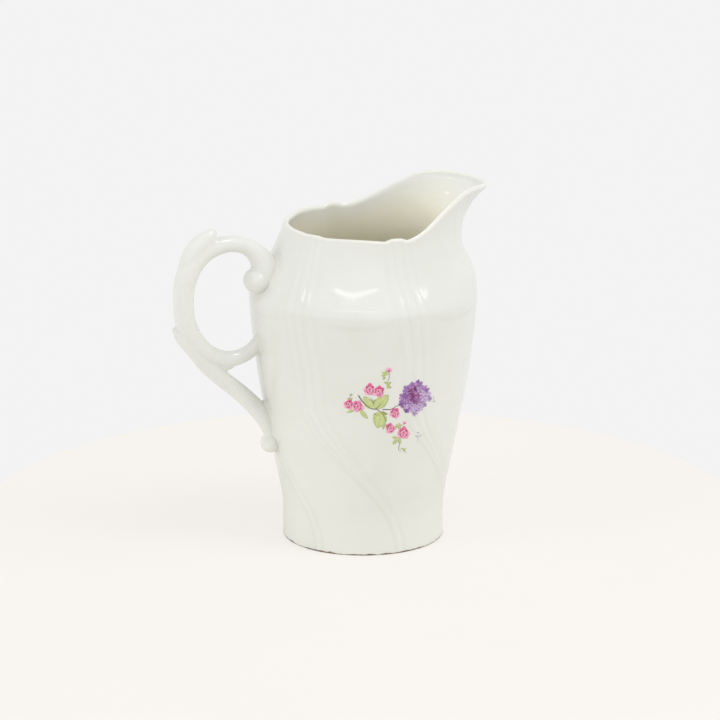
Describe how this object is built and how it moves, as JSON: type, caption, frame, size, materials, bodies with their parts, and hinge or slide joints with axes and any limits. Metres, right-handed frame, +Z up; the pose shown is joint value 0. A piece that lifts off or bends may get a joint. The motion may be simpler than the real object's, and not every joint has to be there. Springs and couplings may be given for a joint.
{
  "type": "milk jug",
  "caption": "Porcelain milk jug with swirled reed bundles, a wide drawn lip and a scrolled handle with pearl ends, decorated with an enamel flower spray; holds and pours milk.",
  "frame": {"origin": "On the table plane under the jug, in the middle of its length (handle to lip) and of its width. The axis of the body stands 15.3 mm from it towards +X.", "axes": "+X points from the handle to the lip, +Z points up, and +Y completes the right-handed frame, so the flower spray is on the -Y side. The jug stands on its foot ring at z = 0."},
  "size_m": [0.1408, 0.0984, 0.1544],
  "materials": {
    "glazed_porcelain": "warm white clear gloss glaze",
    "fired_slip": "fired joining slip under the same glaze",
    "pink_enamel": "glossy on-glaze enamel",
    "lilac_enamel": "glossy on-glaze enamel",
    "green_enamel": "glossy on-glaze enamel"
  },
  "bodies": {
    "root": {"jug_body": "glazed_porcelain", "scroll_handle": "glazed_porcelain", "upper_slip_joint": "fired_slip", "middle_slip_joint": "fired_slip", "lower_slip_joint": "fired_slip", "leafy_stem_enamel": "green_enamel", "blossom_enamel": "lilac_enamel", "bud_enamel": "pink_enamel", "left_roses_enamel": "pink_enamel", "top_roses_enamel": "pink_enamel", "middle_rose_enamel": "pink_enamel", "lower_left_rose_enamel": "pink_enamel", "lower_right_rose_enamel": "pink_enamel"}
  },
  "joints": []
}
